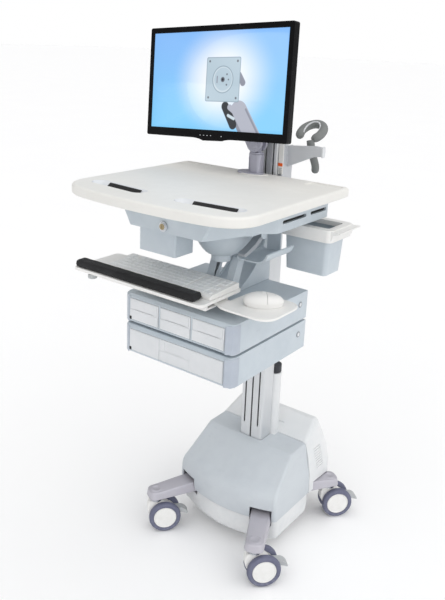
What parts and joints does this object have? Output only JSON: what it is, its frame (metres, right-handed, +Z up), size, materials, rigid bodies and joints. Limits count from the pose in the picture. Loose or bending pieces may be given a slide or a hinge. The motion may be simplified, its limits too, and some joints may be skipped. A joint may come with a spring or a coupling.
{
  "type": "medication cart",
  "caption": "Wheeled medication cart: height-adjustable worktop on a column, with drawers, keyboard tray, bin, scanner holder and monitor arm.",
  "frame": {"origin": "centre of the overall box on the floor", "axes": "+X to the user's right, +Y away from the user, +Z up"},
  "size_m": [0.6694, 0.8154, 1.5647],
  "materials": {
    "white_plastic": "fine satin moulded plastic",
    "grey_plastic": "fine satin moulded plastic",
    "blue_grey_plastic": "fine textured powder coat or moulding",
    "cast_metal": "painted aluminium casting",
    "aluminium": "satin anodised extrusion",
    "steel": "brushed or plated steel",
    "dark_plastic": "black moulded plastic",
    "gloss_black": "polished black plastic",
    "display": "lit display picture behind a matt film",
    "tyre": "grey rubber tread with white hub discs",
    "soft_black": "soft matt foam skin",
    "grey_rubber": "soft matt rubber",
    "orange_mark": "moulded plastic"
  },
  "bodies": {
    "base": {"base_frame": "cast_metal", "lower_pan": "white_plastic", "battery_pack": "dark_plastic", "front_cover": "grey_plastic", "rear_cover": "white_plastic", "column": "aluminium", "column_cap": "grey_plastic", "cable_tube": "blue_grey_plastic", "cable_tube_cap": "dark_plastic"},
    "lift": {"carriage": "aluminium", "worktop": "white_plastic", "underbody": "blue_grey_plastic", "power_box": "blue_grey_plastic", "pivot_cover": "blue_grey_plastic", "accessory_dish": "blue_grey_plastic", "upper_drawer_case": "blue_grey_plastic", "lower_drawer_case": "blue_grey_plastic", "drawer_bracket": "blue_grey_plastic", "drawer_mount_plate": "steel", "bin_frame": "white_plastic", "scanner_bracket": "aluminium", "scanner_cradle": "grey_rubber", "height_marker": "orange_mark", "arm_post": "cast_metal"},
    "lever": {"lift_lever": "grey_plastic"},
    "lock": {"key_lock": "steel"},
    "waste_bin": {"bin": "blue_grey_plastic"},
    "drawer_left": {"drawer_left": "white_plastic"},
    "drawer_middle": {"drawer_middle": "white_plastic"},
    "drawer_right": {"drawer_right": "white_plastic"},
    "drawer_wide": {"drawer_wide": "white_plastic"},
    "keyboard_unit": {"keyboard_arm": "blue_grey_plastic", "keyboard_tray": "white_plastic", "tilt_knob": "grey_plastic", "wrist_rest": "soft_black", "keyboard": "white_plastic"},
    "mouse_shelf": {"mouse_tray": "white_plastic", "mouse": "white_plastic"},
    "turret": {"arm_turret": "cast_metal"},
    "link": {"arm_link": "cast_metal"},
    "head": {"arm_head": "cast_metal"},
    "yoke": {"tilt_head": "cast_metal"},
    "mount_plate": {"vesa_plate": "aluminium"},
    "monitor": {"monitor_back": "gloss_black", "monitor_bezel": "gloss_black", "display_panel": "display"},
    "caster_front_left": {"caster_fork_front_left": "white_plastic"},
    "wheels_front_left": {"wheels_front_left": "tyre"},
    "brake_front_left": {"brake_pedal_front_left": "grey_plastic"},
    "caster_front_right": {"caster_fork_front_right": "white_plastic"},
    "wheels_front_right": {"wheels_front_right": "tyre"},
    "brake_front_right": {"brake_pedal_front_right": "grey_plastic"},
    "caster_rear_right": {"caster_fork_rear_right": "white_plastic"},
    "wheels_rear_right": {"wheels_rear_right": "tyre"},
    "brake_rear_right": {"brake_pedal_rear_right": "grey_plastic"},
    "caster_rear_left": {"caster_fork_rear_left": "white_plastic"},
    "wheels_rear_left": {"wheels_rear_left": "tyre"},
    "brake_rear_left": {"brake_pedal_rear_left": "grey_plastic"}
  },
  "joints": [
    {"name": "lift", "type": "slide", "parent": "base", "child": "lift", "axis": [0, 0, 1], "range_m": [-0.35, 0.13]},
    {"name": "swivel_front_left", "type": "hinge", "parent": "base", "child": "caster_front_left", "pos_m": [-0.15032, -0.09771, 0.108], "axis": [0, 0, 1], "continuous": true},
    {"name": "roll_front_left", "type": "hinge", "parent": "caster_front_left", "child": "wheels_front_left", "pos_m": [-0.13259, -0.07869, 0.05], "axis": [-0.7314, 0.682, 0], "continuous": true},
    {"name": "brake_front_left", "type": "hinge", "parent": "caster_front_left", "child": "brake_front_left", "pos_m": [-0.11076, -0.05529, 0.063], "axis": [-0.7314, 0.682, 0], "range_deg": [0, 14]},
    {"name": "swivel_front_right", "type": "hinge", "parent": "base", "child": "caster_front_right", "pos_m": [0.22568, -0.09771, 0.108], "axis": [0, 0, 1], "continuous": true},
    {"name": "roll_front_right", "type": "hinge", "parent": "caster_front_right", "child": "wheels_front_right", "pos_m": [0.24341, -0.07869, 0.05], "axis": [-0.7314, 0.682, 0], "continuous": true},
    {"name": "brake_front_right", "type": "hinge", "parent": "caster_front_right", "child": "brake_front_right", "pos_m": [0.26524, -0.05529, 0.063], "axis": [-0.7314, 0.682, 0], "range_deg": [0, 14]},
    {"name": "swivel_rear_right", "type": "hinge", "parent": "base", "child": "caster_rear_right", "pos_m": [0.23668, 0.32229, 0.108], "axis": [0, 0, 1], "continuous": true},
    {"name": "roll_rear_right", "type": "hinge", "parent": "caster_rear_right", "child": "wheels_rear_right", "pos_m": [0.25441, 0.34131, 0.05], "axis": [-0.7314, 0.682, 0], "continuous": true},
    {"name": "brake_rear_right", "type": "hinge", "parent": "caster_rear_right", "child": "brake_rear_right", "pos_m": [0.27624, 0.36471, 0.063], "axis": [-0.7314, 0.682, 0], "range_deg": [0, 14]},
    {"name": "swivel_rear_left", "type": "hinge", "parent": "base", "child": "caster_rear_left", "pos_m": [-0.16132, 0.32229, 0.108], "axis": [0, 0, 1], "continuous": true},
    {"name": "roll_rear_left", "type": "hinge", "parent": "caster_rear_left", "child": "wheels_rear_left", "pos_m": [-0.14359, 0.34131, 0.05], "axis": [-0.7314, 0.682, 0], "continuous": true},
    {"name": "brake_rear_left", "type": "hinge", "parent": "caster_rear_left", "child": "brake_rear_left", "pos_m": [-0.12176, 0.36471, 0.063], "axis": [-0.7314, 0.682, 0], "range_deg": [0, 14]},
    {"name": "slide_left", "type": "slide", "parent": "lift", "child": "drawer_left", "axis": [0, -1, 0], "range_m": [0, 0.25]},
    {"name": "slide_middle", "type": "slide", "parent": "lift", "child": "drawer_middle", "axis": [0, -1, 0], "range_m": [0, 0.25]},
    {"name": "slide_right", "type": "slide", "parent": "lift", "child": "drawer_right", "axis": [0, -1, 0], "range_m": [0, 0.25]},
    {"name": "slide_wide", "type": "slide", "parent": "lift", "child": "drawer_wide", "axis": [0, -1, 0], "range_m": [0, 0.25]},
    {"name": "keyboard_swing", "type": "hinge", "parent": "lift", "child": "keyboard_unit", "pos_m": [0.07568, -0.11171, 0.96], "axis": [0, 0, 1], "range_deg": [-12, 12]},
    {"name": "mouse_slide", "type": "slide", "parent": "keyboard_unit", "child": "mouse_shelf", "axis": [1, 0, 0], "range_m": [-0.017, 0.03]},
    {"name": "lever_squeeze", "type": "hinge", "parent": "lift", "child": "lever", "pos_m": [0.18768, -0.10371, 1.04], "axis": [-1, 0, 0], "range_deg": [0, 20], "stiffness_Nm_per_rad": 0.6, "springref_deg": -8.59},
    {"name": "lock_turn", "type": "hinge", "parent": "lift", "child": "lock", "pos_m": [0.03568, -0.29971, 1.068], "axis": [0, -1, 0], "range_deg": [0, 90]},
    {"name": "bin_drop", "type": "slide", "parent": "lift", "child": "waste_bin", "axis": [0, 0, -1], "range_m": [0, 0.03]},
    {"name": "arm_swing", "type": "hinge", "parent": "lift", "child": "turret", "pos_m": [0.02968, 0.10029, 1.206], "axis": [0, 0, 1], "range_deg": [-4, 25]},
    {"name": "arm_raise", "type": "hinge", "parent": "turret", "child": "link", "pos_m": [0.02968, 0.10029, 1.234], "axis": [0, 1, 0], "range_deg": [-25, 12]},
    {"name": "head_level", "type": "hinge", "parent": "link", "child": "head", "pos_m": [-0.04032, 0.10029, 1.35], "axis": [0, -1, 0], "range_deg": [-25, 12]},
    {"name": "head_swing", "type": "hinge", "parent": "head", "child": "yoke", "pos_m": [-0.06932, 0.10029, 1.394], "axis": [0, 0, 1], "range_deg": [-20, 11]},
    {"name": "head_tilt", "type": "hinge", "parent": "yoke", "child": "mount_plate", "pos_m": [-0.06932, 0.09029, 1.404], "axis": [0.9982, -0.0593, 0], "range_deg": [-12, 4]},
    {"name": "screen_turn", "type": "hinge", "parent": "mount_plate", "child": "monitor", "pos_m": [-0.06932, 0.09029, 1.404], "axis": [-0.059, -0.9928, 0.1045], "range_deg": [-12, 12]}
  ],
  "couplings": [
    {"joint": "head_level", "follows": "arm_raise", "ratio": 1}
  ]
}
